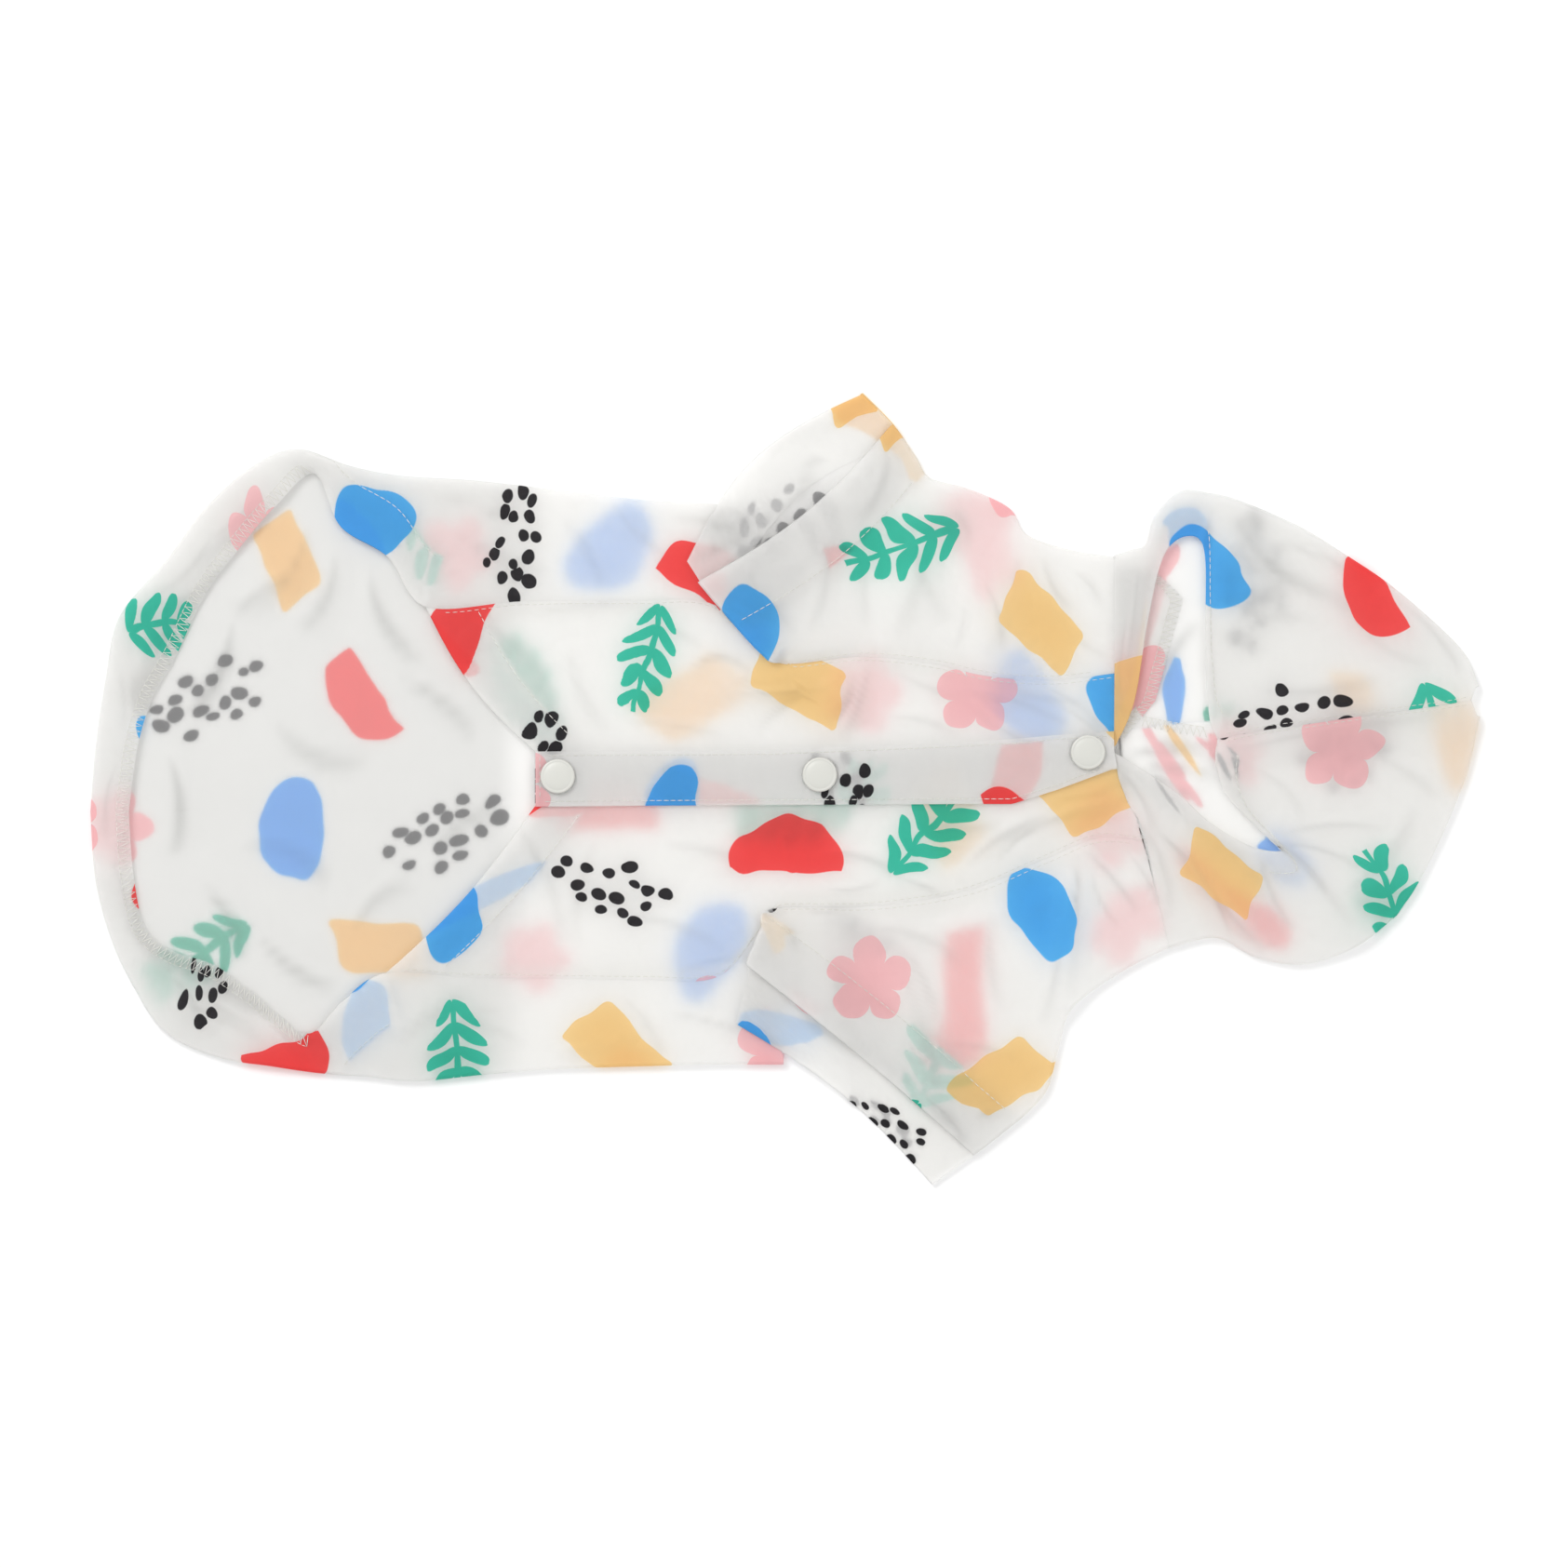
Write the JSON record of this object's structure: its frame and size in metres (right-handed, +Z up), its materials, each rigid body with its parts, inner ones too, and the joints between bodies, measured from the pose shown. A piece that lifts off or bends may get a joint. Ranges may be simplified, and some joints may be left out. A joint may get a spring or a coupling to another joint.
{
  "type": "dog shirt",
  "caption": "Hooded short-sleeved dog shirt in thin frosted cloth with a cut-paper style print, snap band down the belly, laid flat belly side up",
  "frame": {"origin": "middle of the shirt's bounding box, on the surface it lies on", "axes": "+X along the back from the rear hem towards the hood, +Y towards the upper sleeve of the picture, +Z up from the surface; the belly side faces up"},
  "size_m": [0.4992, 0.2846, 0.0081],
  "materials": {
    "back_panel": "thin frosted translucent cloth with a bright print",
    "belly_panel_right": "thin frosted translucent cloth with a bright print",
    "belly_panel_left": "thin frosted translucent cloth with a bright print",
    "sleeve_right": "thin frosted translucent cloth with a bright print",
    "sleeve_left": "thin frosted translucent cloth with a bright print",
    "hood_right": "thin frosted translucent cloth with a bright print",
    "hood_left": "thin frosted translucent cloth with a bright print",
    "snap_band": "thin frosted translucent cloth with a bright print",
    "snap_cap_hem": "smooth matt plastic",
    "snap_cap_middle": "smooth matt plastic",
    "snap_cap_neck": "smooth matt plastic"
  },
  "bodies": {
    "root": {"back_panel": "back_panel", "belly_panel_right": "belly_panel_right", "belly_panel_left": "belly_panel_left", "sleeve_right": "sleeve_right", "sleeve_left": "sleeve_left", "hood_right": "hood_right", "hood_left": "hood_left", "snap_band": "snap_band", "snap_cap_hem": "snap_cap_hem", "snap_cap_middle": "snap_cap_middle", "snap_cap_neck": "snap_cap_neck"}
  },
  "joints": []
}
